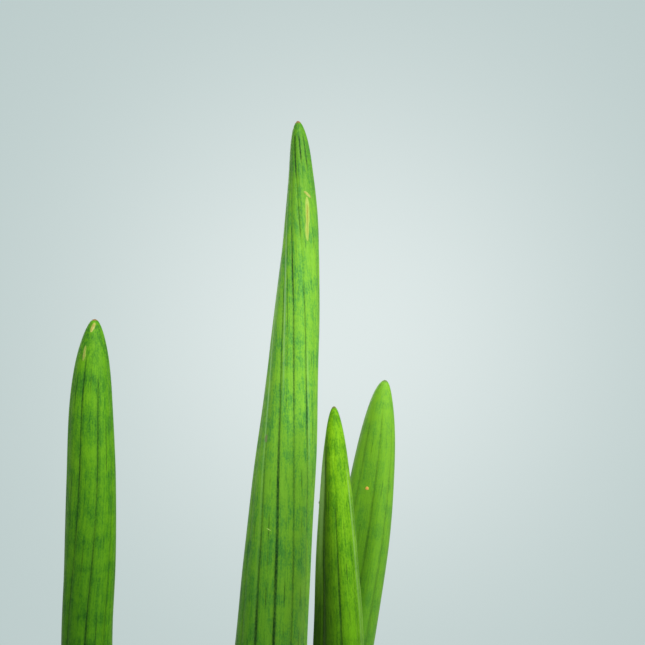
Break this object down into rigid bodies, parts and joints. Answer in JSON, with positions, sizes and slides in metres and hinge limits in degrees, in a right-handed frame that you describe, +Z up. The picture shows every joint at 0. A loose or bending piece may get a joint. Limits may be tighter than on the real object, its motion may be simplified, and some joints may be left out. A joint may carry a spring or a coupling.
{
  "type": "potted snake plant",
  "caption": "Cylindrical snake plant: upright spear leaves with a channelled face, on a creeping rhizome in potting mix, in a plain tapered clay pot with a drainage hole.",
  "frame": {"origin": "centre of the pot's foot, on the surface it stands on", "axes": "+Z up, out of the pot; -Y is the front, with the short leaf at the front right"},
  "size_m": [0.15, 0.15, 0.4186],
  "materials": {
    "pot_clay": "unglazed fired clay, matt",
    "crock_clay": "broken unglazed clay, matt",
    "potting_mix": "damp gritty bark and peat mix",
    "rhizome": "fleshy orange-tan stem with papery nodes",
    "leaf": "satin waxy skin, dark furrow lines, soft banding",
    "scale_leaf": "papery, dry at the edge",
    "root": "pale fibrous root"
  },
  "bodies": {
    "root": {"pot": "pot_clay", "drainage_crock": "crock_clay", "potting_mix": "potting_mix", "rhizome": "rhizome", "leaf_left": "leaf", "leaf_tall": "leaf", "leaf_short": "leaf", "leaf_rear": "leaf", "scale_left_outer": "scale_leaf", "scale_left_inner": "scale_leaf", "scale_tall": "scale_leaf", "scale_rear": "scale_leaf", "scale_short_outer": "scale_leaf", "scale_short_inner": "scale_leaf", "root_1": "root", "root_2": "root", "root_3": "root", "root_4": "root", "root_5": "root", "root_6": "root", "root_7": "root", "root_8": "root", "root_9": "root"}
  },
  "joints": []
}
